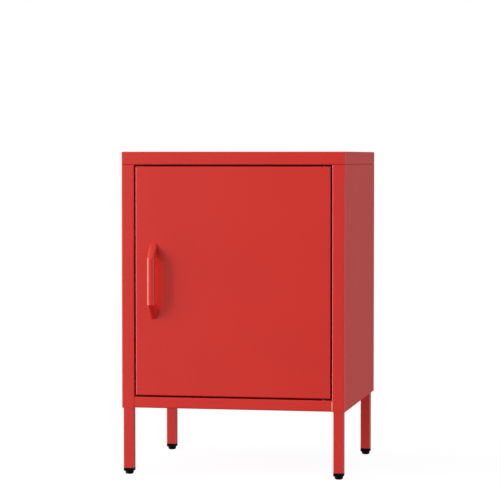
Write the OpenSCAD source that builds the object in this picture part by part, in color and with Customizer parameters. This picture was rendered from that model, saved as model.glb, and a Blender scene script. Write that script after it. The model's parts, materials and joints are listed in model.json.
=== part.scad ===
// Small steel cabinet with one door on four square tube legs, folded from sheet.
// The origin is on the floor, under the middle of the whole outline, handle included.
// +X is to the right of somebody facing the door, +Y goes back from the door, +Z is up.

/* [Cabinet] */
// Width of the body
body_w = 450; // [360:5:600]
// Depth of the body, from its front face to its back face
body_d = 425; // [320:5:520]
// Height of the body without its legs
body_h = 511.5; // [420:0.5:700]
// Free height under the body
leg_clear = 133.5; // [90:0.5:220]
// Thickness of the steel sheet
sheet = 0.8; // [0.6:0.1:1.2]
// Outside radius of a fold
bend_r = 2; // [1.6:0.1:3]

/* [Front frame] */
// Height of the folded edge of the top
fascia_h = 26; // [20:0.2:40]
// How far the front face of a side panel reaches past the leg below it
stile_past = 2.5; // [2.5:0.1:14]
// Height of the rail under the door
rail_h = 22.8; // [18:0.2:40]
// Gap all round the door
door_gap = 3.2; // [3:0.1:5]
// Room between the back of the closed door and the lip behind it
close_gap = 2; // [1.8:0.1:6]
// Width of the lip that the door closes on
stop_lip = 15; // [14:0.5:20]
// Width of the inward lips of the top and of the bottom
frame_lip = 18; // [16:0.5:24]
// Width of the rear lips of the side panels
rear_lip = 20; // [16:0.5:30]
// Width of the level flanges that join the panels
join_lip = 16; // [14:0.5:20]

/* [Door] */
// Thickness of the door
door_t = 18; // [16.5:0.5:24]
// Width of the lips round the back of the door
door_lip = 14; // [12:0.5:18]
// Width of the stiffener behind the door's face
stiffener_w = 50; // [30:1:80]
// Room between the stiffener and the plane of the door's lips
stiffener_gap = 4; // [3:0.5:8]
// Distance from the door's edge to the hinge axis
hinge_in = 12; // [10:0.5:14]
// Distance from the door's face back to the hinge axis
hinge_back = 7; // [6.8:0.1:8]
// Diameter of the hinge pins
pin_d = 4; // [3:0.1:4.8]
// Travel of the spring-loaded upper pin
pin_travel = 8.5; // [8:0.5:12]
// Wall of the hinge bushes
bush_wall = 0.95; // [0.8:0.05:1.1]

/* [Handle] */
// Length of the handle where it meets the door
handle_l = 152; // [110:1:200]
// Length of the straight grip
grip_l = 93; // [60:1:110]
// How far the handle stands out from the door
handle_reach = 30; // [24:1:45]
// Width of the handle bar
bar_w = 16; // [12:0.5:20]
// Thickness of the handle bar
bar_t = 9; // [8:0.5:11]
// Distance from the side of the body to the middle of the handle
handle_in = 66; // [60:1:90]

/* [Legs and feet] */
// Outside width of a square leg tube
tube_w = 20; // [16:0.5:26]
// Wall of a leg tube
tube_wall = 1.2; // [1:0.1:2]
// Room between the side fold of the cabinet's floor and a leg
leg_gap = 0.1; // [0.1:0.1:3]
// Distance from the back of the body to the rear legs
leg_rear_in = 22.5; // [20:0.5:40]
// How far the square plate on top of a leg reaches past the tube
plate_past = 26; // [22:1:40]
// Thickness of that plate
plate_t = 2.5; // [2:0.5:4]
// Thickness of a foot cap's rim
cap_rim = 6.4; // [3:0.2:8]
// Height of a levelling glide
glide_h = 6.4; // [6:0.2:12]
// Diameter of a levelling glide
glide_d = 17; // [14:0.5:20]
// Diameter of a levelling stud
stud_d = 8; // [6:1:10]
// Travel of a levelling foot
foot_travel = 10; // [5:1:14]

/* [Shelf] */
// Height of the shelf's folded edge
shelf_h = 20; // [15:1:30]
// Width of the lips under the shelf
shelf_lip = 12; // [10:0.5:20]
// Which slot the shelf clips hang in, counted from the lowest
shelf_step = 5; // [1:1:6]
// Distance between two slots
slot_pitch = 25; // [20:1:32]
// Height of the lowest slot above the cabinet's floor
slot_first = 55; // [45:1:60]
// Free height above the top slot
slot_end = 70; // [60:1:90]

/* [Catch] */
// Height of the magnetic catch above the cabinet's floor
catch_up = 300; // [280:1:320]
// Height of the magnet
magnet_h = 22; // [16:1:30]
// Depth of the magnet
magnet_d = 10; // [8:0.5:14]

/* [Fasteners] */
// Diameter of the screws that join the panels
screw_d = 4; // [3:0.5:5]
// Diameter of the leg bolts
bolt_d = 6; // [5:0.5:8]

/* [Hidden] */
// Radial clearance of a shaft in its own hole
fit = 0.05;
// Room between sheets that slide together when the cabinet is put together
slip = 0.1;
// Room between pieces that move past each other
free = 0.3;
// Washer face to bush face in the hinge
thrust_gap = 0.2;
// Room between the end of the rail and the stile
seam = 0.3;
// Extra length of a cut, so that it passes right through
over = 1;
$fn = 48;

bend_in = bend_r - sheet;
leg_in = sheet + slip + bend_r + leg_gap;
stile_w = leg_in + tube_w + stile_past;
plate_w = tube_w + plate_past;
left = -body_w / 2;
right = body_w / 2;
front = -(body_d - handle_reach) / 2;
back = front + body_d;
base = leg_clear;
crown = leg_clear + body_h;
floor_z = base + rail_h;
lintel_z = crown - fascia_h;
jamb_d = door_t + close_gap;
lip_y = front + jamb_d;

pan_x = left + sheet + slip;
pan_w = body_w - 2 * (sheet + slip);
pan_d = body_d - sheet - slip;

door_x = left + stile_w + door_gap;
door_z = floor_z + door_gap;
door_w = body_w - 2 * (stile_w + door_gap);
door_h = lintel_z - floor_z - 2 * door_gap;
skin_y = front + sheet;
door_back = front + door_t;
hinge_x = door_x + door_w - hinge_in;
hinge_y = front + hinge_back;

// Hinge: radii and heights
pin_r = pin_d / 2;
bush_r = pin_r + fit + bush_wall;
collar_r = bush_r + 2;
shoulder_r = collar_r - 0.5;
bush_collar = 1.6;
shoulder_t = door_gap - bush_collar - thrust_gap;
lower_pin_up = 12;
bush_up = 8;
pin_up = 6;
bracket_t = 2;
bracket_w = 19;
bracket_reach = 12;
bracket_h = 30;
guide_gap = 34;
clip_r = pin_r + 1.6;
clip_t = 1.5;
thumb_l = 14;
wire_d = 0.7;
spring_r = pin_r + 1;
spring_turns = 7;
top_guide_z = door_z + door_h - sheet - bracket_t;
low_guide_z = top_guide_z - guide_gap;

// Handle: side outline
bar_outer_r = 4.2;
bar_inner_r = 2;
strut_dz = (handle_l - grip_l) / 2;
handle_x = left + handle_in;
handle_z = door_z + door_h / 2;
strut_angle = atan2(handle_reach, strut_dz);
axis_y = -(handle_reach - bar_t / 2);
corner_z = grip_l / 2 - bar_t / 2 * tan(strut_angle / 2);
base_half = bar_t / 2 / sin(strut_angle);
base_z = corner_z - axis_y / tan(strut_angle);
bore_wall = 1.2;
handle_screw_z = base_z - (base_half - screw_d / 2 - bore_wall);
handle_screw_in = 6.5;

// Legs
cap_z = glide_h + free;
tube_z = cap_z + cap_rim;
plate_z = floor_z - sheet - plate_t;
leg_front_y = front + sheet + 0.2;
leg_rear_y = back - leg_rear_in;
tube_in = tube_w - 2 * tube_wall;
plug_l = 18;
stud_up = 14;
stud_seat = 3;
bolt_share = 0.24;
bolt_near = plate_w * bolt_share;
bolt_far = plate_w - bolt_near;
bolt_hole = bolt_d / 2 + 0.2;
bolt_head_h = 3;
bolt_l = 12;
leg_room = 0.2;
leg_clearance = 5;

// Shelf, slots and clips
clip_w = 8;
clip_h = 12;
ledge = 12;
hook_h = 4;
tongue_z = 6.8;
slot_h = 5.2;
slot_w = clip_w + 0.4;
slot_n = floor((lintel_z - floor_z - slot_first - slot_end) / slot_pitch) + 1;
clip_z = floor_z + slot_first + shelf_step * slot_pitch + tongue_z;
slot_left_x = left + stile_w + stop_lip / 2;
slot_right_x = right - stile_w + stop_lip / 2;
slot_rear_x = body_w / 2 - rear_lip - slot_w;
back_y = back - 2 * sheet;
shelf_room = 3;
shelf_side = 2;
shelf_x = left + sheet + shelf_side;
shelf_y = lip_y + 2 * sheet + shelf_room;

// Catch
catch_z = floor_z + catch_up;
catch_x = left + stile_w + stop_lip / 2 + 1;
pole_t = 1;
magnet_t = 4;
core_half = magnet_t / 2 + pole_t;
case_wall = 1.4;
strike_t = 1;
strike_h = 40;
strike_w = 11;
pole_front = door_back + strike_t + 0.4;
case_y = lip_y + sheet;
ear_h = 10;
ear_t = 2.4;
rivet_r = 1.5;
bumper_r = 4;
bumper_off = 40;

// Screws
screw_r = screw_d / 2;
screw_hole = screw_r + 0.15;
head_r = screw_d * 0.95;
head_h = 2.2;
nut_h = 3.2;
joint_l = 8;
joint_n = 3;
back_n = 3;
rear_head_h = 1.8;
rear_screw_l = 6;
screw_room = 1;
shelf_back = back - rear_screw_l - screw_room;
washer_t = 1;

// ---- Shapes that repeat ----

// What a round corner takes away from a square one
module corner_waste(r) {
  if (r > 0) difference() {
    translate([-over, -over]) square(r + over);
    translate([r, r]) circle(r);
  }
}

// Rectangle with its own radius at each corner: near left, near right, far right, far left
module soft_rect(w, d, r) {
  difference() {
    square([w, d]);
    corner_waste(r[0]);
    translate([w, 0]) mirror([1, 0]) corner_waste(r[1]);
    translate([w, d]) rotate(180) corner_waste(r[2]);
    translate([0, d]) mirror([0, 1]) corner_waste(r[3]);
  }
}

// Box whose upright edges, top edges and bottom edges are round
module soft_box(w, d, h, upright, top, bottom) {
  ends = [bottom, bottom, top, top];
  intersection() {
    linear_extrude(h) soft_rect(w, d, [upright, upright, upright, upright]);
    rotate([90, 0, 90]) linear_extrude(w) soft_rect(d, h, ends);
    translate([0, d, 0]) rotate([90, 0, 0]) linear_extrude(d) soft_rect(w, h, ends);
  }
}

// Tray folded from sheet, closed on top, with lips turned in below: front, right, back, left
module tray(w, d, h, lips) {
  difference() {
    soft_box(w, d, h, bend_r, bend_r, bend_r);
    translate([sheet, sheet, sheet])
      soft_box(w - 2 * sheet, d - 2 * sheet, h - 2 * sheet, bend_in, bend_in, bend_in);
    translate([lips[3], lips[0], -over])
      cube([w - lips[1] - lips[3], d - lips[0] - lips[2], sheet + 2 * over]);
  }
}

// Strip of sheet on the left of a path that starts along +X; each turn is a quarter fold
module folded(flats, turns, i = 0) {
  square([flats[i], sheet]);
  if (i < len(turns)) translate([flats[i], 0]) {
    side = turns[i];
    turn_y = side > 0 ? bend_r : -bend_in;
    next = side > 0 ? bend_r : bend_in;
    translate([0, turn_y]) difference() {
      intersection() {
        circle(bend_r);
        translate([0, side > 0 ? -bend_r : 0]) square(bend_r);
      }
      circle(bend_in);
    }
    translate([next, turn_y]) rotate(90 * side) folded(flats, turns, i + 1);
  }
}

module rod(x, y, z, r, h) {
  translate([x, y, z]) cylinder(r = r, h = h);
}

// Screw with its shank up from z = 0 and its head below
module screw(r, length, head_rad, head_high) {
  cylinder(r = r, h = length);
  translate([0, 0, -head_high]) cylinder(r = head_rad, h = head_high);
}

module nut(r, outer, h) {
  difference() {
    cylinder(r = outer, h = h, $fn = 6);
    translate([0, 0, -over]) cylinder(r = r, h = h + 2 * over);
  }
}

// Evenly spaced places from a to b
function spaced(n, a, b) = [for (i = [0:n - 1]) a + (b - a) * i / (n - 1)];

// Puts a left front shape at each of the four corners
module at_corner(side_x, rear) {
  translate([side_x * (left + leg_in), rear ? leg_rear_y : leg_front_y, 0])
    mirror([side_x < 0 ? 1 : 0, 0, 0]) mirror([0, rear ? 1 : 0, 0]) children();
}

CORNERS = [[1, false], [-1, false], [1, true], [-1, true]];

// ---- Panels ----

joint_y_top = spaced(joint_n, lip_y + 30, back - 30);
joint_y_low = spaced(joint_n, leg_front_y + plate_w + 20, leg_rear_y - plate_w - 20);

module joint_holes(ys, z) {
  for (s = [-1, 1], y = ys)
    rod(s * (body_w / 2 - join_lip / 2), y, z - over, screw_hole, 2 * sheet + 2 * over);
}

module top_panel() {
  color("firebrick") difference() {
    translate([left, front, lintel_z])
      tray(body_w, body_d, fascia_h, [frame_lip, join_lip, frame_lip, join_lip]);
    joint_holes(joint_y_top, lintel_z - sheet);
    rod(hinge_x, hinge_y, lintel_z - over, bush_r, sheet + 2 * over);
  }
}

// Slots at every height, less those that the catch would cover
module slots(x, y, catch_here = false) {
  covered = magnet_h / 2 + case_wall + ear_h + slot_h / 2 - slip;
  for (i = [0:slot_n - 1]) {
    low = slot_first + i * slot_pitch;
    if (!catch_here || abs(low + slot_h / 2 - catch_up) > covered)
      translate([x - slot_w / 2, y - over, floor_z + low])
        cube([slot_w, sheet + 2 * over, slot_h]);
  }
}

// Left-hand side panel; inward is true where the lip turns into the door opening
module side_panel(inward) {
  jamb_flat = inward ? jamb_d - bend_r - bend_in : jamb_d + sheet - 2 * bend_r;
  lip_flat = stop_lip - (inward ? bend_in : bend_r);
  flats = [rear_lip - bend_r, body_d - 2 * bend_r, stile_w - 2 * bend_r, jamb_flat, lip_flat];
  flange_y = leg_front_y + tube_w + leg_clearance;
  difference() {
    union() {
      translate([left + rear_lip, back, base]) rotate(180) linear_extrude(lintel_z - base)
        folded(flats, [1, 1, 1, inward ? -1 : 1]);
      // Level flanges: the lower one lies between the legs
      for (f = [[base, leg_rear_y - tube_w - leg_clearance],
                [lintel_z - sheet, back - sheet - bend_r - slip]])
        translate([left + sheet, flange_y, f[0]])
          cube([join_lip - sheet, f[1] - flange_y, sheet]);
    }
    // The floor of the cabinet passes under the jamb
    translate([left + sheet + slip, front + bend_r, base - over])
      cube([stile_w + stop_lip, jamb_d + sheet, rail_h + over]);
    joint_holes(joint_y_top, lintel_z - sheet);
    joint_holes(joint_y_low, base);
    rear_screw_places() cylinder(r = screw_hole, h = sheet + 2 * over);
    slots(inward ? slot_left_x : -slot_right_x, lip_y, inward);
  }
}

module left_side_panel() {
  color("firebrick") difference() {
    side_panel(true);
    catch_window();
    catch_screw_places() cylinder(r = rivet_r + fit, h = 3 * sheet);
  }
}

module right_side_panel() {
  color("firebrick") mirror([1, 0, 0]) side_panel(false);
}

// Room for the leg tubes through the lips of the bottom
module leg_openings() {
  for (c = CORNERS) at_corner(c[0], c[1])
    translate([-leg_room, -leg_room, base - over])
      cube([tube_w + 2 * leg_room, tube_w + 2 * leg_room, rail_h / 2]);
}

module bottom_panel() {
  color("firebrick") difference() {
    translate([pan_x, front, base + sheet])
      tray(pan_w, pan_d, rail_h - sheet, [frame_lip, join_lip, frame_lip, join_lip]);
    // The rail stops at the stiles
    for (s = [0, 1]) mirror([s, 0, 0])
      translate([left - over, front - over, base - over])
        cube([stile_w + seam + over, bend_r + slip + over, rail_h + 2 * over]);
    leg_openings();
    joint_holes(joint_y_low, base);
    rod(hinge_x, hinge_y, floor_z - sheet - over, pin_r, sheet + 2 * over);
    for (c = CORNERS) at_corner(c[0], c[1]) leg_bolt_places()
      translate([0, 0, floor_z - sheet - over]) cylinder(r = bolt_hole, h = sheet + 2 * over);
  }
}

module back_panel() {
  lip = frame_lip;
  side_room = sheet + bend_in + slip;
  wall_h = lintel_z - floor_z;
  flats = [lip - bend_r, wall_h - 2 * bend_r, lip - bend_r];
  color("firebrick") difference() {
    translate([left + side_room, back - sheet - lip, floor_z]) rotate([90, 0, 90])
      linear_extrude(body_w - 2 * side_room) folded(flats, [1, 1]);
    rear_screw_places() cylinder(r = screw_hole, h = 3 * sheet + over);
    for (s = [-1, 1]) slots(s * slot_rear_x, back_y);
    // The flanges leave the panel joints free
    for (s = [0, 1]) mirror([s, 0, 0]) translate([left, back - sheet - lip - over, floor_z - over])
      cube([join_lip + slip, lip - bend_r + over, wall_h + 2 * over]);
  }
}

// Along +Y at each screw of the back, starting in front of both sheets
module rear_screw_places() {
  for (s = [-1, 1], z = spaced(back_n, floor_z + 50, lintel_z - 50))
    translate([s * (body_w / 2 - rear_lip / 2), back - 2 * sheet - over, z])
      rotate([-90, 0, 0]) children();
}

// ---- Legs and feet ----

module square_tube(w, z, h, r) {
  translate([(tube_w - w) / 2, (tube_w - w) / 2, z])
    linear_extrude(h) soft_rect(w, w, [r, r, r, r]);
}

module leg_bolt_places() {
  for (x = [bolt_near, bolt_far]) translate([x, bolt_far, 0]) children();
}

module leg(c) {
  corner = 1.5;
  color("firebrick") at_corner(c[0], c[1]) difference() {
    union() {
      square_tube(tube_w, tube_z, plate_z - tube_z, corner);
      translate([0, 0, plate_z]) linear_extrude(plate_t)
        soft_rect(plate_w, plate_w, [corner, 0, 3 * corner, 3 * corner]);
    }
    square_tube(tube_in, tube_z - over, plate_z - tube_z + over, corner - tube_wall);
    // Room for the fold of the rail
    translate([tube_w, -over, plate_z - over])
      cube([plate_w, bend_r + 2 * over, plate_t + 2 * over]);
    leg_bolt_places() translate([0, 0, plate_z - over])
      cylinder(r = bolt_hole, h = plate_t + 2 * over);
  }
}

module foot_cap(c) {
  corner = 1.5;
  low_edge = 0.6;
  rib = 2;
  color("dimgray") at_corner(c[0], c[1]) difference() {
    union() {
      translate([0, 0, cap_z]) soft_box(tube_w, tube_w, cap_rim, corner, 0.3, low_edge);
      square_tube(tube_in - 2 * rib, tube_z - over, plug_l + over, corner);
      for (i = [0:2]) square_tube(tube_in - 2 * slip, tube_z + i * plug_l / 3, rib, corner / 2);
    }
    translate([tube_w / 2, tube_w / 2, cap_z - over])
      cylinder(r = stud_d / 2 + fit, h = cap_rim + plug_l + 3 * over);
  }
}

module foot_stud(c) {
  color("silver") at_corner(c[0], c[1]) translate([tube_w / 2, tube_w / 2, stud_seat])
    cylinder(r = stud_d / 2, h = cap_z - stud_seat + stud_up);
}

module foot_glide(c) {
  round_low = 3.8;
  round_top = 1;
  r = glide_d / 2;
  color("dimgray") at_corner(c[0], c[1]) translate([tube_w / 2, tube_w / 2, 0])
    rotate_extrude() difference() {
      square([r, glide_h]);
      translate([r, 0]) mirror([1, 0]) corner_waste(round_low);
      translate([r, glide_h]) rotate(180) corner_waste(round_top);
      translate([-over, stud_seat]) square([stud_d / 2 + over, glide_h]);
    }
}

module leg_bolts() {
  color("silver") for (c = CORNERS) at_corner(c[0], c[1]) leg_bolt_places()
    translate([0, 0, floor_z]) mirror([0, 0, 1])
      screw(bolt_d / 2, bolt_l, bolt_d * 0.9, bolt_head_h);
}

module leg_nuts() {
  color("silver") for (c = CORNERS) at_corner(c[0], c[1]) leg_bolt_places()
    translate([0, 0, plate_z - bolt_d * 0.8]) nut(bolt_d / 2, bolt_d * 0.95, bolt_d * 0.8);
}

// ---- Fasteners of the panels ----

module joint_screw_places() {
  for (s = [-1, 1]) {
    for (y = joint_y_top) translate([s * (body_w / 2 - join_lip / 2), y, lintel_z - sheet])
      children();
    for (y = joint_y_low) translate([s * (body_w / 2 - join_lip / 2), y, base]) children();
  }
}

module panel_screws() {
  color("silver") joint_screw_places() screw(screw_r, joint_l, head_r, head_h);
}

module panel_nuts() {
  color("silver") joint_screw_places() translate([0, 0, 2 * sheet])
    nut(screw_r, screw_d, nut_h);
}

module back_screws() {
  color("silver") rear_screw_places() translate([0, 0, 2 * sheet + over])
    mirror([0, 0, 1]) screw(screw_r, rear_screw_l, head_r, rear_head_h);
}

// ---- Shelf ----

module shelf() {
  w = body_w - 2 * (sheet + shelf_side);
  d = shelf_back - shelf_y;
  color("firebrick") translate([shelf_x, shelf_y, clip_z])
    tray(w, d, shelf_h, [shelf_lip, shelf_lip, shelf_lip, shelf_lip]);
}

// Clip with its sheet behind y = 0 and its ledge towards +Y
module shelf_clip() {
  rotate([90, 0, 90]) linear_extrude(clip_w, center = true) {
    translate([0, -clip_h]) square([sheet, clip_h]);
    translate([0, -sheet]) square([ledge, sheet]);
    translate([-sheet, -tongue_z]) square([2 * sheet, sheet]);
    translate([-2 * sheet, -tongue_z - hook_h + sheet]) square([sheet, hook_h]);
  }
}

module shelf_clips() {
  color("silver") {
    for (x = [slot_left_x, slot_right_x]) translate([x, lip_y + sheet, clip_z]) shelf_clip();
    for (s = [-1, 1]) translate([s * slot_rear_x, back_y, clip_z])
      mirror([0, 1, 0]) shelf_clip();
  }
}

// ---- Door ----

module handle_screw_places() {
  for (s = [-1, 1]) translate([handle_x, front, handle_z + s * handle_screw_z])
    rotate([90, 0, 0]) children();
}

module strike_rivet_places() {
  for (s = [-1, 1]) translate([catch_x, door_back, catch_z + s * strike_h * 0.38])
    rotate([90, 0, 0]) children();
}

module door_panel() {
  lips = [door_lip, door_lip, door_lip, door_lip];
  color("firebrick") difference() {
    translate([door_x, door_back, door_z]) rotate([90, 0, 0]) tray(door_w, door_h, door_t, lips);
    rod(hinge_x, hinge_y, door_z - over, bush_r, sheet + 2 * over);
    rod(hinge_x, hinge_y, door_z + door_h - sheet - over, pin_r + fit, sheet + 2 * over);
    handle_screw_places() translate([0, 0, -sheet - over])
      cylinder(r = screw_r, h = sheet + 2 * over);
    strike_rivet_places() translate([0, 0, -over]) cylinder(r = rivet_r, h = sheet + 2 * over);
  }
}

// Hat-shaped channel spot welded to the back of the face
module door_stiffener() {
  brim = 10;
  depth = door_t - stiffener_gap;
  crown_w = stiffener_w - 2 * brim;
  flats = [brim - bend_in, depth - bend_r - bend_in, crown_w - 2 * bend_r,
           depth - bend_r - bend_in, brim - bend_in];
  length = door_h - 2 * bend_r - 20;
  color("firebrick") translate([door_x + door_w / 2, skin_y, door_z + (door_h - length) / 2])
    linear_extrude(length) mirror([0, 1]) translate([-stiffener_w / 2, -sheet])
      folded(flats, [-1, 1, 1, -1]);
}

// Points of a quarter circle round [x, y], from the angle a on
function quarter(x, y, r, a, steps = 6) =
  [for (i = [0:steps]) [x + r * cos(a + 90 * i / steps), y + r * sin(a + 90 * i / steps)]];

// Outline of the bar: u runs across it, v from its outer face to the side of the door
function bar_outline(w, t, outer, inner) = concat(
  quarter(w - outer, outer - t, outer, 270), quarter(w - inner, t - inner, inner, 0),
  quarter(inner - w, t - inner, inner, 90), quarter(outer - w, outer - t, outer, 180));

// The bar bends at two corners, where its outline is cut on the mitre, and ends on the door
module handle_bar() {
  outline = bar_outline(bar_w / 2, bar_t / 2, bar_outer_r, bar_inner_r);
  n = len(outline);
  points = [for (s = [-1, 1], bent = s < 0 ? [false, true] : [true, false], p = outline)
    bent ? [p[0], axis_y + p[1], s * (corner_z - p[1] * tan(strut_angle / 2))]
         : [p[0], 0, s * (base_z - p[1] / sin(strut_angle))]];
  walls = [for (i = [0:2], k = [0:n - 1])
    [i * n + k, (i + 1) * n + k, (i + 1) * n + (k + 1) % n, i * n + (k + 1) % n]];
  polyhedron(points, concat(walls, [[for (k = [0:n - 1]) k], [for (k = [n - 1:-1:0]) 3 * n + k]]));
}

module handle() {
  color("firebrick") difference() {
    translate([handle_x, front, handle_z]) handle_bar();
    handle_screw_places() translate([0, 0, -over])
      cylinder(r = screw_r, h = handle_screw_in + over);
  }
}

module handle_screws() {
  color("silver") handle_screw_places() translate([0, 0, -sheet - washer_t])
    screw(screw_r, sheet + washer_t + handle_screw_in - 0.5, head_r, head_h);
}

module handle_washers() {
  color("silver") handle_screw_places() translate([0, 0, -sheet - washer_t]) difference() {
    cylinder(r = head_r + 1, h = washer_t);
    translate([0, 0, -over]) cylinder(r = screw_hole, h = washer_t + 2 * over);
  }
}

// ---- Hinge ----

// Tab of a hinge bracket with its bore on the hinge axis
module hinge_tab(z, r) {
  difference() {
    translate([hinge_x - bracket_w / 2, skin_y + bend_in, z])
      cube([bracket_w, bracket_reach - bend_in, bracket_t]);
    rod(hinge_x, hinge_y, z - over, r, bracket_t + 2 * over);
  }
}

module lower_hinge_bracket() {
  z = door_z + sheet;
  color("gray") {
    translate([hinge_x - bracket_w / 2, skin_y, z + bracket_t])
      cube([bracket_w, bracket_t, bracket_h]);
    hinge_tab(z, bush_r);
  }
}

module upper_hinge_bracket() {
  z = low_guide_z + bracket_t;
  color("gray") {
    translate([hinge_x - bracket_w / 2, skin_y, z])
      cube([bracket_w, bracket_t, top_guide_z - z]);
    hinge_tab(top_guide_z, pin_r + fit);
    hinge_tab(low_guide_z, pin_r + fit);
  }
}

// Pin welded into the cabinet's floor, with a shoulder that carries the door
module lower_hinge_pin() {
  color("silver") {
    rod(hinge_x, hinge_y, floor_z - sheet, pin_r, sheet + door_gap + lower_pin_up);
    rod(hinge_x, hinge_y, floor_z, shoulder_r, shoulder_t);
  }
}

// Flanged bush with its collar from z = 0 down and its sleeve up
module bush(up) {
  difference() {
    union() {
      cylinder(r = bush_r, h = up);
      translate([0, 0, -bush_collar]) cylinder(r = collar_r, h = bush_collar);
    }
    translate([0, 0, -bush_collar - over]) cylinder(r = pin_r + fit, h = up + bush_collar + 2 * over);
  }
}

module lower_hinge_bush() {
  color("ivory") translate([hinge_x, hinge_y, door_z]) bush(bush_up);
}

module upper_hinge_bush() {
  color("ivory") translate([hinge_x, hinge_y, lintel_z]) bush(bush_up);
}

// Spring-loaded pin with its clip and its thumb piece
module upper_hinge_pin() {
  low = low_guide_z - 8;
  color("silver") {
    rod(hinge_x, hinge_y, low, pin_r, lintel_z + pin_up - low);
    rod(hinge_x, hinge_y, top_guide_z - free - clip_t, clip_r, clip_t);
    translate([hinge_x, hinge_y, low]) rotate([0, -90, 0]) cylinder(r = pin_r, h = thumb_l);
    translate([hinge_x, hinge_y, low]) sphere(pin_r);
  }
}

// Points of a ring of the spring's wire at turn t, and the wire swept through them
function spring_ring(t, h, sides) = [for (k = [0:sides - 1])
  let (a = 360 * t * spring_turns, b = 360 * k / sides, r = spring_r + wire_d / 2 * cos(b))
  [r * cos(a), r * sin(a), wire_d / 2 + (h - wire_d) * t + wire_d / 2 * sin(b)]];

module hinge_spring() {
  z = low_guide_z + bracket_t;
  h = top_guide_z - free - clip_t - z;
  sides = 6;
  steps = 12 * spring_turns;
  points = [for (i = [0:steps], p = spring_ring(i / steps, h, sides)) p];
  walls = [for (i = [0:steps - 1], k = [0:sides - 1])
    let (k2 = (k + 1) % sides)
    [i * sides + k, (i + 1) * sides + k, (i + 1) * sides + k2, i * sides + k2]];
  ends = [[for (k = [0:sides - 1]) k], [for (k = [sides - 1:-1:0]) steps * sides + k]];
  color("silver") translate([hinge_x, hinge_y, z]) polyhedron(points, concat(walls, ends));
}

// ---- Catch ----

module catch_box(x_half, z_half, y0, y1) {
  translate([catch_x - x_half, y0, catch_z - z_half]) cube([2 * x_half, y1 - y0, 2 * z_half]);
}

module catch_window() {
  catch_box(core_half + slip, magnet_h / 2 + slip, lip_y - over, case_y + over);
}

// Along +Y at each screw of the catch, starting in front of the lip
module catch_screw_places() {
  for (s = [-1, 1])
    translate([catch_x, lip_y - sheet, catch_z + s * (magnet_h / 2 + case_wall + ear_h / 2)])
      rotate([-90, 0, 0]) children();
}

module catch_case() {
  z_half = magnet_h / 2 + case_wall;
  color("whitesmoke") difference() {
    union() {
      catch_box(core_half + case_wall, z_half, case_y, case_y + magnet_d + case_wall);
      catch_box(core_half + case_wall, z_half + ear_h, case_y, case_y + ear_t);
    }
    catch_box(core_half, magnet_h / 2, case_y - over, case_y + magnet_d);
    catch_screw_places() cylinder(r = rivet_r, h = ear_t + 3 * sheet);
  }
}

module catch_magnet() {
  color("dimgray") catch_box(magnet_t / 2, magnet_h / 2, case_y, case_y + magnet_d);
}

module catch_poles() {
  color("silver") for (s = [-1, 1]) translate([s * (magnet_t + pole_t) / 2, 0, 0])
    catch_box(pole_t / 2, magnet_h / 2, pole_front, case_y + magnet_d);
}

module catch_screws() {
  length = ear_t + sheet;
  color("silver") catch_screw_places() translate([0, 0, sheet + length])
    mirror([0, 0, 1]) screw(rivet_r, length, 2 * rivet_r, 1.2 * rivet_r);
}

module strike_plate() {
  color("silver") difference() {
    translate([catch_x - strike_w / 2, door_back, catch_z - strike_h / 2])
      cube([strike_w, strike_t, strike_h]);
    strike_rivet_places() translate([0, 0, -strike_t - over])
      cylinder(r = rivet_r, h = strike_t + 2 * over);
  }
}

module strike_rivets() {
  head = 0.6;
  tail = 1.2;
  color("silver") strike_rivet_places() {
    translate([0, 0, -strike_t - head]) cylinder(r = rivet_r + 0.9, h = head);
    translate([0, 0, -strike_t]) cylinder(r = rivet_r, h = strike_t + sheet);
    translate([0, 0, sheet]) cylinder(r = rivet_r + 0.9, h = tail);
  }
}

module door_bumpers() {
  thick = lip_y - door_back - free;
  color("dimgray") for (z = [door_z + bumper_off, door_z + door_h - bumper_off])
    translate([catch_x, lip_y, z]) rotate([90, 0, 0]) cylinder(r = bumper_r, h = thick);
}

top_panel();
left_side_panel();
right_side_panel();
back_panel();
bottom_panel();
leg(CORNERS[0]);  // leg_front_left
leg(CORNERS[1]);  // leg_front_right
leg(CORNERS[2]);  // leg_rear_left
leg(CORNERS[3]);  // leg_rear_right
foot_cap(CORNERS[0]);  // foot_cap_front_left
foot_cap(CORNERS[1]);  // foot_cap_front_right
foot_cap(CORNERS[2]);  // foot_cap_rear_left
foot_cap(CORNERS[3]);  // foot_cap_rear_right
foot_stud(CORNERS[0]);  // foot_stud_front_left
foot_stud(CORNERS[1]);  // foot_stud_front_right
foot_stud(CORNERS[2]);  // foot_stud_rear_left
foot_stud(CORNERS[3]);  // foot_stud_rear_right
foot_glide(CORNERS[0]);  // foot_glide_front_left
foot_glide(CORNERS[1]);  // foot_glide_front_right
foot_glide(CORNERS[2]);  // foot_glide_rear_left
foot_glide(CORNERS[3]);  // foot_glide_rear_right
leg_bolts();
leg_nuts();
panel_screws();
panel_nuts();
back_screws();
shelf();
shelf_clips();
door_panel();
door_stiffener();
handle();
handle_screws();
handle_washers();
lower_hinge_bracket();
upper_hinge_bracket();
lower_hinge_pin();
lower_hinge_bush();
upper_hinge_bush();
upper_hinge_pin();
hinge_spring();
catch_case();
catch_magnet();
catch_poles();
catch_screws();
strike_plate();
strike_rivets();
door_bumpers();
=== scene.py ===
# %% [markdown]
# # A small red steel cabinet on four legs
# The cabinet is folded from thin steel sheet, powder coated red, and stands on square
# tube legs with black levelling feet. Its solids come packed from the CAD model, and this
# lesson dresses them: it sets the camera and the light, mixes the finishes, and makes the
# small turned, swept and threaded pieces that a CAD solid only hints at.

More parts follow.
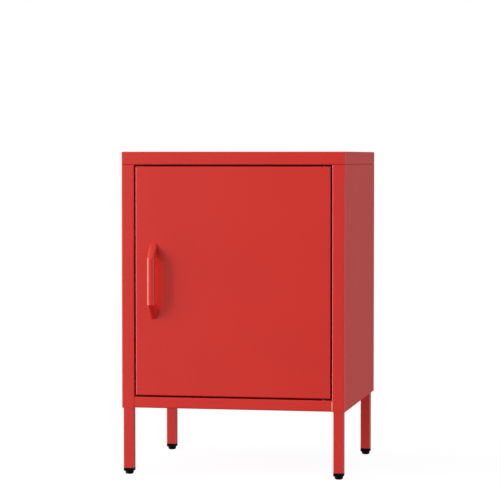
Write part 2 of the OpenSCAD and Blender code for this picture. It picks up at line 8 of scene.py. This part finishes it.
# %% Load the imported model
import json
import math
import bpy
import bmesh
import numpy as np
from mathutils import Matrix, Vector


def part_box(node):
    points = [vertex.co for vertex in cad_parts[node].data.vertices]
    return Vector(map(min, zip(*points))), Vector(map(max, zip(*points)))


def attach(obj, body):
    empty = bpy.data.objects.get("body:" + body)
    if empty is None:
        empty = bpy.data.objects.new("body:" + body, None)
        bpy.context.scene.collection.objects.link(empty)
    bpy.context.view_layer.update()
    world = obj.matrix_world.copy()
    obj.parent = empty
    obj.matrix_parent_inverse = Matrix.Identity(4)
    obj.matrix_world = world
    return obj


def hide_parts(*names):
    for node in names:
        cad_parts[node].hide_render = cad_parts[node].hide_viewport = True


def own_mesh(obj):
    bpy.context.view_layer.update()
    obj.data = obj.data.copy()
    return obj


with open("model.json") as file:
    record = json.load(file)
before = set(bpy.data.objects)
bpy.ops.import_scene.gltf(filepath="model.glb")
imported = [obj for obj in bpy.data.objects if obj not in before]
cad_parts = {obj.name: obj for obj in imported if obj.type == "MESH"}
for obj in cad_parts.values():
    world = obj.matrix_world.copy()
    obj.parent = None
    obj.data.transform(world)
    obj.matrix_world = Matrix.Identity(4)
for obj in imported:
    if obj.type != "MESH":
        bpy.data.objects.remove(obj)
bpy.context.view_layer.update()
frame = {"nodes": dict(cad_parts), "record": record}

# %% [markdown]
# ## Camera
# A product picture is taken from far away with a long lens, so that upright edges stay
# nearly parallel. The camera stands a little to the right of the door and slightly above
# the cabinet's middle. It could be aimed with a tracking constraint, but a plain turn about
# Z and a tilt about X say exactly where it looks.

# %% Camera
camera = bpy.data.objects.new("camera", bpy.data.cameras.new("camera"))
bpy.context.collection.objects.link(camera)
camera.location = (0.8654, -4.4971, 0.6341)
turn, tilt = math.radians(10.919), math.radians(2.391)
camera.rotation_euler = (math.pi / 2 - tilt, 0, turn)
camera.data.sensor_width = 36
camera.data.lens = 160.06
camera.data.clip_end = 60
bpy.context.scene.camera = camera
print("camera", round(math.dist(camera.location, (0, 0, 0.32)), 2), "m from the cabinet")

# %% [markdown]
# ## Studio
# The light is a white room. Its left side is bright, its right side less than a third as
# bright, its ceiling weak, and the rest is dim, so that the door is lit more than the flank.
# The world gives that room: its brightness depends only on the direction. Two softboxes
# stand in it. A tall narrow one at the left draws the shadow of the handle and the streak of
# light along its grip; its width decides how soft the shadow is. A weak one overhead lifts
# the upper edges. The camera itself sees a plain white background. Lamps alone would leave
# the satin paint with nothing to reflect, and it would look flat.

# %% World and softboxes
world = bpy.data.worlds.new("white_room")
bpy.context.scene.world = world
world.use_nodes = True
EVERYWHERE, DARKEST = 0.09, 0.02
# Each wall: the direction it lies in, its brightness, and how narrow its glow is
ROOM = [((0, -1, 0), 0.10, 1), ((1, 0, 0), 1.60, 2), ((-0.96, -0.28, 0.10), 5.3, 4),
        ((0, 0, 1), 0.7, 6), ((0, 0, -1), -0.10, 1)]


def wall(tree, direction, towards, strength, power):
    """Brightness of one wall: strength times the cosine of the angle between the direction
    looked in and the wall's own direction, raised to power."""
    nodes, links = tree.nodes, tree.links
    share = nodes.new("ShaderNodeVectorMath")
    share.operation = "DOT_PRODUCT"
    share.inputs[1].default_value = np.array(towards) / np.linalg.norm(towards)
    links.new(direction, share.inputs[0])
    value = share.outputs["Value"]
    for operation, number in (("MAXIMUM", 0.0), ("POWER", power), ("MULTIPLY", strength)):
        step = nodes.new("ShaderNodeMath")
        step.operation = operation
        step.inputs[1].default_value = number
        links.new(value, step.inputs[0])
        value = step.outputs[0]
    return value


tree = world.node_tree
direction = tree.nodes.new("ShaderNodeTexCoord").outputs["Generated"]
total = tree.nodes.new("ShaderNodeValue")
total.outputs[0].default_value = EVERYWHERE
for towards, strength, power in ROOM:
    add = tree.nodes.new("ShaderNodeMath")
    add.operation = "ADD"
    tree.links.new(total.outputs[0], add.inputs[0])
    tree.links.new(wall(tree, direction, towards, strength, power), add.inputs[1])
    total = add
darkest = tree.nodes.new("ShaderNodeMath")
darkest.operation = "MAXIMUM"
darkest.inputs[1].default_value = DARKEST
tree.links.new(total.outputs[0], darkest.inputs[0])
room = tree.nodes["Background"]
room.inputs["Color"].default_value = (1, 1, 1, 1)
tree.links.new(darkest.outputs[0], room.inputs["Strength"])
backdrop = tree.nodes.new("ShaderNodeBackground")
backdrop.inputs["Color"].default_value = (1, 1, 1, 1)
path = tree.nodes.new("ShaderNodeLightPath")
choose = tree.nodes.new("ShaderNodeMixShader")
tree.links.new(path.outputs["Is Camera Ray"], choose.inputs[0])
tree.links.new(room.outputs[0], choose.inputs[1])
tree.links.new(backdrop.outputs[0], choose.inputs[2])
tree.links.new(choose.outputs[0], tree.nodes["World Output"].inputs["Surface"])
bpy.context.scene.view_settings.view_transform = "Standard"


AIM_Z = 0.4


def softbox(name, width, height, energy, side, rise, away):
    """An area lamp, away metres from the cabinet, side degrees to its left and rise degrees
    up, that faces its middle."""
    data = bpy.data.lights.new(name, "AREA")
    data.shape = "RECTANGLE"
    data.size, data.size_y, data.energy = width, height, energy
    box = bpy.data.objects.new(name, data)
    bpy.context.collection.objects.link(box)
    side, rise = math.radians(side), math.radians(rise)
    box.location = (-math.sin(side) * math.cos(rise) * away,
                    -math.cos(side) * math.cos(rise) * away, AIM_Z + math.sin(rise) * away)
    box.rotation_euler = (math.pi / 2 - rise, 0, -side)
    print(name, [round(v, 2) for v in box.location])


softbox("window", width=0.35, height=2.0, energy=40, side=50, rise=13, away=4.0)
softbox("ceiling", width=2.4, height=0.4, energy=8, side=-6, rise=60, away=4.0)

# %% [markdown]
# ## Finishes
# Every finish is mixed from noise read in Object coordinates, so it is fixed to the piece
# and has no seams. One helper makes the tree: broad patches and fine grain shift the
# colour, the same grain shifts the gloss, and a bump of two sizes gives the orange peel of
# powder coat or the sparkle of moulded plastic. A painted image would have to be unwrapped
# for each piece, and would blur in a close view.

# %% The tree that every finish shares
def finish(name, dark, light, patch, grain, gloss, bumps, metallic=0.0, stretch=(1, 1, 1),
           extra=None):
    """A material from noise. dark and light are the two ends of its colour; patch and grain
    are the sizes of its broad and fine pattern in metres; gloss is its lowest and highest
    roughness; bumps is a list of (size, height) in metres; stretch squeezes the pattern
    along X, Y and Z, for a brushed or drawn surface."""
    mat = bpy.data.materials.new(name)
    mat.use_nodes = True
    tree = mat.node_tree
    nodes, links = tree.nodes, tree.links
    shader = nodes["Principled BSDF"]
    place = nodes.new("ShaderNodeTexCoord")
    scale = nodes.new("ShaderNodeMapping")
    scale.inputs["Scale"].default_value = stretch
    links.new(place.outputs["Object"], scale.inputs["Vector"])

    def noise(size, detail):
        node = nodes.new("ShaderNodeTexNoise")
        node.inputs["Scale"].default_value = 1 / size
        node.inputs["Detail"].default_value = detail
        links.new(scale.outputs["Vector"], node.inputs["Vector"])
        return node.outputs["Fac"]

    def between(value, low, high):
        node = nodes.new("ShaderNodeMapRange")
        node.inputs["From Min"].default_value = 0.3
        node.inputs["From Max"].default_value = 0.7
        node.inputs["To Min"].default_value = low
        node.inputs["To Max"].default_value = high
        links.new(value, node.inputs["Value"])
        return node.outputs["Result"]

    broad, fine = noise(patch, 3), noise(grain, 2)
    both = nodes.new("ShaderNodeMath")
    both.operation = "ADD"
    links.new(between(broad, 0, 0.5), both.inputs[0])
    links.new(between(fine, 0, 0.5), both.inputs[1])
    mix = nodes.new("ShaderNodeMix")
    mix.data_type = "RGBA"
    mix.inputs["A"].default_value = (*dark, 1)
    mix.inputs["B"].default_value = (*light, 1)
    links.new(both.outputs[0], mix.inputs["Factor"])
    links.new(mix.outputs["Result"], shader.inputs["Base Color"])
    links.new(between(fine, *gloss), shader.inputs["Roughness"])
    normal = None
    for size, height in bumps:
        bump = nodes.new("ShaderNodeBump")
        bump.inputs["Distance"].default_value = height
        links.new(noise(size, 2), bump.inputs["Height"])
        if normal:
            links.new(normal, bump.inputs["Normal"])
        normal = bump.outputs["Normal"]
    if normal:
        links.new(normal, shader.inputs["Normal"])
    shader.inputs["Metallic"].default_value = metallic
    for socket, value in (extra or {}).items():
        shader.inputs[socket].default_value = value
    print("finish", name)
    return mat

# %% [markdown]
# ## The eight finishes
# - Red powder coat: baked polyester powder. It is one even colour with a satin gloss and a
#   fine orange peel about two millimetres across.
# - Black plastic: moulded polyethylene, with the dull sparkle of the mould.
# - Zinc plated steel: bright, slightly patchy, with a fine grain drawn out along Z.
# - Spring steel: drawn wire, darker than zinc, with a very fine grain.
# - Blackened steel: the black oxide of the hinge pins, dull and slightly uneven.
# - White nylon: creamy and waxy, with light that soaks a millimetre in.
# - Ferrite: a near black ceramic magnet, dull and grainy.
# - Black rubber: soft, matte and a bit dusty.

# %% The finishes
red = finish("red_powder_coat", (0.545, 0.0140, 0.0068), (0.595, 0.0170, 0.0088), 0.16, 0.0026,
             (0.28, 0.36), [(0.0022, 0.000030), (0.0006, 0.000006)], extra={"IOR": 1.53})
black = finish("black_plastic", (0.001, 0.001, 0.001), (0.003, 0.003, 0.003), 0.02, 0.0006,
               (0.40, 0.52), [(0.0005, 0.00002)], extra={"Specular IOR Level": 0.06})
zinc = finish("zinc_plated_steel", (0.50, 0.51, 0.52), (0.66, 0.66, 0.64), 0.012, 0.0005,
              (0.24, 0.40), [(0.0007, 0.000008)], metallic=1.0, stretch=(1, 1, 0.35))
wire = finish("spring_steel", (0.30, 0.30, 0.31), (0.44, 0.44, 0.45), 0.004, 0.0003,
              (0.25, 0.38), [(0.0004, 0.000006)], metallic=1.0)
blued = finish("blackened_steel", (0.030, 0.030, 0.032), (0.055, 0.054, 0.054), 0.008, 0.0005,
               (0.38, 0.50), [(0.0006, 0.000006)], metallic=0.5, extra={"IOR": 1.4})
nylon = finish("white_nylon", (0.70, 0.67, 0.60), (0.78, 0.76, 0.70), 0.01, 0.0006,
               (0.36, 0.48), [(0.0008, 0.00001)], extra={"Subsurface Weight": 0.15,
                                                          "Subsurface Scale": 0.001})
ferrite = finish("black_ferrite", (0.028, 0.028, 0.030), (0.055, 0.055, 0.058), 0.006, 0.0004,
                 (0.5, 0.7), [(0.0004, 0.00003)])
rubber = finish("black_rubber", (0.012, 0.012, 0.012), (0.030, 0.029, 0.028), 0.008, 0.0005,
                (0.7, 0.85), [(0.0005, 0.00002)])
FINISH = {"red_powder_coat": red, "black_plastic": black, "zinc_plated_steel": zinc,
          "spring_steel": wire, "blackened_steel": blued, "white_nylon": nylon,
          "black_ferrite": ferrite, "black_rubber": rubber}

# %% Give every CAD node its finish
for part in frame["record"]["subparts"]:
    node = frame["nodes"][part["node"]]
    for slot in node.material_slots:
        slot.material = FINISH[part["material_slot"]]
print(len(frame["nodes"]), "nodes have their finish")

# %% [markdown]
# ## Meshes from grids
# Each new piece is a grid of points: rows along a path or round an axis, columns round an
# outline. Neighbouring points make the four-sided faces. This is how sheet metal and turned
# parts are drawn in a workshop, and numpy works out the whole grid at once.

# %% Helpers that turn a grid of points into a piece
def quads(rows, cols):
    """Corner numbers of the faces between neighbours in a rows by cols grid of points. The
    last column joins the first; rows don't join."""
    r, c = np.meshgrid(np.arange(rows - 1), np.arange(cols), indexing="ij")
    c2 = (c + 1) % cols
    return np.stack([r * cols + c, r * cols + c2, (r + 1) * cols + c2, (r + 1) * cols + c],
                    axis=-1).reshape(-1, 4)


def swept(rows, cols):
    """Faces of an outline of cols points carried along rows places, closed at both ends."""
    last = rows * cols
    return quads(rows, cols).tolist() + [list(range(cols)),
                                         list(range(last - 1, last - cols - 1, -1))]


def piece(name, points, faces, body, slot, replaces=(), smooth=35):
    """A mesh object at the origin. Doubles are merged, normals are turned outwards, and
    edges sharper than smooth degrees stay crisp."""
    mesh = bpy.data.meshes.new(name)
    mesh.from_pydata(np.asarray(points).reshape(-1, 3).tolist(), [], [list(f) for f in faces])
    tidy = bmesh.new()
    tidy.from_mesh(mesh)
    bmesh.ops.remove_doubles(tidy, verts=tidy.verts, dist=1e-7)
    bmesh.ops.dissolve_degenerate(tidy, edges=tidy.edges, dist=1e-8)
    bmesh.ops.recalc_face_normals(tidy, faces=tidy.faces)
    tidy.to_mesh(mesh)
    tidy.free()
    mesh.shade_smooth()
    mesh.set_sharp_from_angle(angle=math.radians(smooth))
    thing = bpy.data.objects.new(name, mesh)
    bpy.context.collection.objects.link(thing)
    mesh.materials.append(FINISH[slot])
    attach(thing, body)
    if replaces:
        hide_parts(*replaces)
    print(name, len(mesh.polygons), "faces")
    return thing


def solids(node):
    """Low and high corner of each separate solid in a CAD node, as a (count, 2, 3) array.
    Corners in one place share a number, and each face hands its lowest number to its
    corners until nothing changes."""
    mesh = frame["nodes"][node].data
    flat = np.empty(len(mesh.vertices) * 3)
    mesh.vertices.foreach_get("co", flat)
    places, number = np.unique(np.round(flat.reshape(-1, 3), 6), axis=0, return_inverse=True)
    loops = np.empty(len(mesh.loops), dtype=int)
    mesh.loops.foreach_get("vertex_index", loops)
    faces = number.ravel()[loops].reshape(-1, 3)
    label = np.arange(len(places))
    while True:
        lower = label.copy()
        np.minimum.at(lower, faces.ravel(), np.repeat(label[faces].min(axis=1), 3))
        if (lower == label).all():
            break
        label = lower
    kinds = np.unique(label)
    return np.array([[places[label == k].min(axis=0), places[label == k].max(axis=0)]
                     for k in kinds])


def arc(cx, cy, r, start, stop, steps):
    """Points of a circular arc: the middle (cx, cy) plus r times the cosine and the sine of
    angles that run from start to stop in degrees."""
    a = np.radians(np.linspace(start, stop, steps + 1))
    return np.stack([cx + r * np.cos(a), cy + r * np.sin(a)], axis=1)


def turned(profile, sides=48):
    """A profile of (radius, height) points carried round the Z axis: x is the radius times
    the cosine of the angle, y the radius times its sine, and z the height."""
    a = np.arange(sides) * 2 * math.pi / sides
    profile = np.asarray(profile, dtype=float)
    ring = np.stack([np.cos(a), np.sin(a), np.ones(sides)], axis=1)
    grid = profile[:, None, :][:, :, [0, 0, 1]] * ring[None]
    return grid, quads(len(profile), sides)


def copies(points, faces, places, axes=None):
    """The same shape at several places. axes is the turn that each copy gets first."""
    flat = points.reshape(-1, 3)
    turns = np.tile(np.eye(3), (len(places), 1, 1)) if axes is None else np.asarray(axes)
    every = np.einsum("pij,vj->pvi", turns, flat) + np.asarray(places)[:, None, :]
    shift = np.arange(len(places))[:, None, None] * len(flat)
    return every.reshape(-1, 3), (faces[None] + shift).reshape(-1, faces.shape[1])

# %% [markdown]
# ## Handle
# The handle is a steel bar, flat behind and nearly half round in front, bent at two crisp
# corners so that the grip stands clear of the door. A curve with a bevelled profile would
# round those corners off, so the outline of the bar is carried along three straight runs, is
# cut on the mitre where they meet, and a fine Bevel softens only the mitres.

# %% Handle
BAR_T, GRIP_HALF = 0.009, 0.0465  # the bar's thickness, and half the straight grip
FRONT_R, BACK_R, MITRE_W = 0.0058, 0.0020, 0.0006
low, high = (np.array(v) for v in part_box("handle"))
front = high[1]
mid_x, mid_z = (low[0] + high[0]) / 2, (low[2] + high[2]) / 2
reach, half_l = front - low[1], (high[2] - low[2]) / 2
slope = math.atan2(reach, half_l - GRIP_HALF)
half_w, half_t = (high[0] - low[0]) / 2, BAR_T / 2
outline = np.concatenate([
    arc(half_w - FRONT_R, FRONT_R - half_t, FRONT_R, -90, 0, 10),
    arc(half_w - BACK_R, half_t - BACK_R, BACK_R, 0, 90, 5),
    arc(BACK_R - half_w, half_t - BACK_R, BACK_R, 90, 180, 5),
    arc(FRONT_R - half_w, FRONT_R - half_t, FRONT_R, 180, 270, 10)])
u, v = outline.T
axis_y = front - (reach - half_t)
corner = GRIP_HALF - half_t * math.tan(slope / 2)
foot = corner + (front - axis_y) / math.tan(slope)
half_ring = [np.stack([u + mid_x, np.full_like(u, front), foot - v / math.sin(slope)], axis=1),
             np.stack([u + mid_x, axis_y + v, corner - v * math.tan(slope / 2)], axis=1)]
flip, lift = np.array([1, 1, -1]), np.array([0, 0, mid_z])
grid = np.stack([half_ring[0] * flip, half_ring[1] * flip, half_ring[1], half_ring[0]]) + lift
handle = piece("bow_handle", grid, swept(*grid.shape[:2]), "door", "red_powder_coat",
               ["handle"], smooth=30)
bevel = handle.modifiers.new("soft_mitre", "BEVEL")
bevel.width = MITRE_W
bevel.segments = 2
bevel.limit_method = "ANGLE"
bevel.angle_limit = math.radians(28)
print("handle slope", round(math.degrees(slope), 1), "degrees")

# %% [markdown]
# ## Levelling feet
# A glide is a bowl of black plastic moulded round the head of a threaded stud. It is a
# turned part: a flat sole, a round flank, a small round lip at the top. The stud's thread is
# a ridge that climbs one pitch for each turn.

# %% Glides and studs
FLANK_R, LIP_R, STEP = 0.0038, 0.0010, 0.0004
SOLE_UP, SOLE_EDGE = 0.0006, 0.0012  # the sole is a little hollow inside its edge
RIM_R, MOUTH_R, BORE_R, BORE_Z = 0.0055, 0.0048, 0.0041, 0.003
STUD_SIDES, PITCH, THREAD_DEPTH, TIP = 40, 0.00125, 0.0006, 0.0012


def glide_profile(r, h):
    """Sole, round flank and small round lip of a glide, then its bore, as (radius, height)."""
    return np.concatenate([
        [[0, SOLE_UP], [r - FLANK_R - SOLE_EDGE, SOLE_UP], [r - FLANK_R - STEP, 0.0]],
        arc(r - FLANK_R, FLANK_R, FLANK_R, -90, 0, 10), arc(r - LIP_R, h - LIP_R, LIP_R, 0, 90, 6),
        [[RIM_R, h], [MOUTH_R, h - STEP], [BORE_R, h - STEP], [BORE_R, BORE_Z], [0, BORE_Z]]])


def thread(r, length):
    """Threaded rod: the radius drops with the distance from a ridge that climbs one pitch
    for each turn, and the ridge fades out over the last millimetre of the tip."""
    a, z = np.meshgrid(np.arange(STUD_SIDES) * 2 * math.pi / STUD_SIDES,
                       np.linspace(0, length, int(length / PITCH * 6)), indexing="ij")
    wave = np.abs(((z / PITCH - a / (2 * math.pi)) % 1) * 2 - 1)
    taper = np.clip((length - z) / TIP, 0, 1)
    rad = r - THREAD_DEPTH * (1 - wave * taper)
    return np.stack([rad * np.cos(a), rad * np.sin(a), z], axis=-1).transpose(1, 0, 2)


for corner_name in ("front_left", "front_right", "rear_left", "rear_right"):
    body = "foot_" + corner_name
    low, high = (np.array(v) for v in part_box("foot_glide_" + corner_name))
    middle = [(low[0] + high[0]) / 2, (low[1] + high[1]) / 2, low[2]]
    points, faces = turned(glide_profile((high[0] - low[0]) / 2, high[2] - low[2]), 56)
    points, faces = copies(points, faces, [middle])
    piece("glide_" + corner_name, points, faces, body, "black_plastic",
          ["foot_glide_" + corner_name])

    low, high = (np.array(v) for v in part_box("foot_stud_" + corner_name))
    grid = thread((high[0] - low[0]) / 2, high[2] - low[2]) + [middle[0], middle[1], low[2]]
    piece("stud_" + corner_name, grid, swept(*grid.shape[:2]), body, "zinc_plated_steel",
          ["foot_stud_" + corner_name], smooth=60)

# %% [markdown]
# ## Screws, bolts and bumpers
# The cabinet is held together by pan head screws, which a press forms from wire: a shallow
# dome with a rounded rim, and a cross struck into it. Each one is a profile turned round its
# shank, with the cross sunk into the rings of the dome. A boolean cut would give the same
# cross with many more thin triangles. The bumpers are rubber buttons with a rounded face.

# %% Screws and bumpers
def along(axis, sign):
    """Turn that lays the Z axis of a turned shape along the given axis, either way. With
    sign -1 it also mirrors the shape, which piece() puts right by turning its faces out."""
    turn = np.zeros((3, 3))
    turn[(axis + 1) % 3, 0] = 1
    turn[(axis + 2) % 3, 1] = 1
    turn[axis, 2] = sign
    return turn


# Shares of the head's radius, but DOME_DROP and CROSS_DEPTH are shares of its height
DOME_SHARE, DOME_DROP, RIM_SHARE = 0.86, 0.33, 0.14
SLOT_W, SLOT_SLOPE, CROSS_REACH, CROSS_EDGE, CROSS_DEPTH = 0.17, 0.09, 0.60, 0.12, 0.55


def screw_shape(length, shank_r, head_r, head_h):
    """A pan head screw, tip at height 0 and head on top. The dome falls by a third of the
    head's height times the square of the share of the radius. The cross is where the
    smaller of |x| and |y| is less than half the slot's width, inside its reach."""
    rings = np.linspace(0, DOME_SHARE, 26)
    top = np.stack([head_r * rings, length - head_h * DOME_DROP * rings ** 2], axis=1)
    rim_r = head_r * RIM_SHARE
    rim = arc(head_r - rim_r, top[-1, 1] - rim_r, rim_r, 90, 0, 4)
    below = np.array([[head_r, length - head_h], [shank_r, length - head_h],
                      [shank_r, shank_r * 0.5], [shank_r * 0.6, 0.0], [0.0, 0.0]])
    grid, faces = turned(np.concatenate([top, rim[1:], below]), 64)
    x, y = np.abs(grid[:len(top), :, 0]), np.abs(grid[:len(top), :, 1])
    across = np.clip((SLOT_W - np.minimum(x, y) / head_r) / SLOT_SLOPE, 0, 1)
    inside = np.clip((CROSS_REACH - np.hypot(x, y) / head_r) / CROSS_EDGE, 0, 1)
    grid[:len(top), :, 2] -= head_h * CROSS_DEPTH * across * inside
    return grid, faces


def screws(name, node, body, axis, sign, shank_r, head_h):
    """A finer copy of every screw in a CAD node, head towards sign along axis."""
    boxes = solids(node)
    low, high = boxes[:, 0], boxes[:, 1]
    size = (high - low)[0]
    places = (low + high) / 2
    places[:, axis] = low[:, axis] if sign > 0 else high[:, axis]
    shape, faces = screw_shape(size[axis], shank_r, size[(axis + 1) % 3] / 2, head_h)
    points, faces = copies(shape, faces, places, [along(axis, sign)] * len(places))
    piece(name, points, faces, body, "zinc_plated_steel", [node], smooth=40)
    print(name, len(places), "screws", np.round(size * 1000, 2), "mm")


screws("rear_pan_screws", "back_screws", "cabinet", 1, 1, 0.002, 0.0018)
screws("panel_pan_screws", "panel_screws", "cabinet", 2, -1, 0.002, 0.0022)
screws("leg_pan_bolts", "leg_bolts", "cabinet", 2, 1, 0.003, 0.0030)
screws("handle_pan_screws", "handle_screws", "door", 1, 1, 0.002, 0.0022)
screws("catch_pan_screws", "catch_screws", "cabinet", 1, 1, 0.0015, 0.0018)

SOFT_OF_R, SOFT_OF_H = 0.45, 0.8  # the soft edge's radius is the smaller of these shares
boxes = solids("door_bumpers")
size = boxes[0, 1] - boxes[0, 0]
r, h = size[0] / 2, size[1]
soft = min(r * SOFT_OF_R, h * SOFT_OF_H)
button, faces = turned(np.concatenate([[[0, 0], [r, 0]], arc(r - soft, h - soft, soft, 0, 80, 8),
                                       [[0, h]]]))
places = boxes.mean(axis=1)
places[:, 1] = boxes[:, 1, 1]
points, faces = copies(button, faces, places, [along(1, -1)] * len(places))
piece("bumper_buttons", points, faces, "cabinet", "black_rubber", ["door_bumpers"])

# %% [markdown]
# ## Hinge spring
# The upper hinge pin is pushed up by a compression spring, wound from round wire, with its
# end turns closer together. It is a small circle carried along a helix. Pulling the pin down
# would shorten the real spring towards its lower guide; this piece keeps its rest length.

# %% Coil spring
low, high = (np.array(v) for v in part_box("hinge_spring"))
TURNS, STEPS, WIRE_SIDES = 7, 40, 12
WIRE_R, TRAVEL = 0.00042, 0.0085
FLAT_ENDS = 0.035  # how far the climb is held back near the two end turns
t = np.linspace(0, 1, TURNS * STEPS + 1)
rise = (t - FLAT_ENDS * np.sin(2 * math.pi * t)) * (high[2] - low[2] - 2 * WIRE_R) + WIRE_R
coil_r = (high[0] - low[0]) / 2 - WIRE_R
angle = 2 * math.pi * TURNS * t
out = np.stack([np.cos(angle), np.sin(angle), np.zeros_like(t)], axis=1)
axis_x, axis_y = (low[0] + high[0]) / 2, (low[1] + high[1]) / 2
middle = np.stack([np.full_like(t, axis_x), np.full_like(t, axis_y), low[2] + rise],
                  axis=1) + coil_r * out
a = np.arange(WIRE_SIDES) * 2 * math.pi / WIRE_SIDES
grid = (middle[:, None] + WIRE_R * np.cos(a)[None, :, None] * out[:, None]
        + WIRE_R * np.sin(a)[None, :, None] * np.array([0, 0, 1]))
spring = piece("coil_spring", grid, swept(*grid.shape[:2]), "door", "spring_steel",
               ["hinge_spring"], smooth=60)
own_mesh(spring)
print("spring", np.round((high - low) * 1000, 2), "mm")

# %% [markdown]
# ## Floor
# The cabinet stands on a wide white light table: a sheet that glows almost as brightly as
# the white behind it, so that there is no horizon and only a breath of shadow stays under
# the feet. A brighter sheet would eat into the outline of the legs. It isn't part of the
# cabinet, so the cabinet is lit by the room and not by the floor.

# %% Floor
paper = finish("pale_paper", (0.08, 0.08, 0.08), (0.09, 0.09, 0.09), 0.4, 0.004, (0.7, 0.8),
               [(0.004, 0.00002)], extra={"Emission Color": (1, 1, 1, 1),
                                          "Emission Strength": 0.93,
                                          "Specular IOR Level": 0.1})
floor_mesh = bpy.data.meshes.new("floor")
span = 14.0
floor_mesh.from_pydata([(-span, -span, 0), (span, -span, 0), (span, span, 0), (-span, span, 0)],
                       [], [(0, 1, 2, 3)])
floor_mesh.materials.append(paper)
floor = bpy.data.objects.new("floor", floor_mesh)
bpy.context.collection.objects.link(floor)
floor.visible_diffuse = False
floor.visible_glossy = False
print("floor", 2 * span, "m wide")
